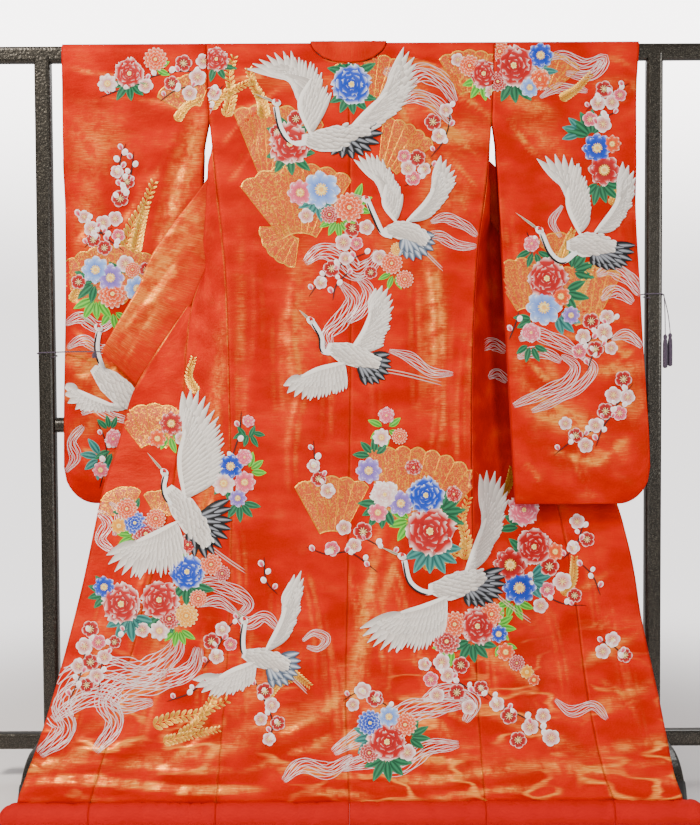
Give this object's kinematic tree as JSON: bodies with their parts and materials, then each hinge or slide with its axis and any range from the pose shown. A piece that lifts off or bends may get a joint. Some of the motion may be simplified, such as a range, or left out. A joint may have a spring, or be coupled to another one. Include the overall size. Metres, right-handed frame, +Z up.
{
  "type": "uchikake wedding kimono on a kimono stand",
  "caption": "Long-sleeved red satin over-kimono with a padded hem roll, hung open by its shoulders on the top rail of a free-standing metal kimono stand.",
  "frame": {"origin": "on the floor, in the middle of the part's box", "axes": "+Z up, -Y towards the viewer who sees the kimono's back, +X to that viewer's right along the rails"},
  "size_m": [1.72, 0.7158, 1.7054],
  "materials": {
    "red_satin": "satin with gold weft and woven motifs",
    "collar_satin": "satin",
    "red_crepe": "matte crepe, padded",
    "hammered_metal": "hammered dark bronze paint",
    "black_rubber": "matte",
    "violet_cord": "twisted dark violet cord"
  },
  "bodies": {
    "root": {"body_left": "red_satin", "sleeve_left": "red_satin", "okumi_left": "red_satin", "body_right": "red_satin", "sleeve_right": "red_satin", "okumi_right": "red_satin", "collar": "collar_satin", "hem_roll_okumi_left": "red_crepe", "hem_roll_front_left": "red_crepe", "hem_roll_back_left": "red_crepe", "hem_roll_back_right": "red_crepe", "hem_roll_front_right": "red_crepe", "hem_roll_okumi_right": "red_crepe", "top_rail": "hammered_metal", "middle_rail": "hammered_metal", "lower_rail": "hammered_metal", "post_left": "hammered_metal", "post_right": "hammered_metal", "foot_left_front": "hammered_metal", "foot_cap_left_front": "black_rubber", "foot_left_rear": "hammered_metal", "foot_cap_left_rear": "black_rubber", "foot_right_front": "hammered_metal", "foot_cap_right_front": "black_rubber", "foot_right_rear": "hammered_metal", "foot_cap_right_rear": "black_rubber", "tie_cord_left": "violet_cord", "tie_knot_left": "violet_cord", "tie_cord_right": "violet_cord", "tassel_cord_a": "violet_cord", "tassel_cord_b": "violet_cord", "tassel_a": "violet_cord", "tassel_b": "violet_cord"}
  },
  "joints": []
}
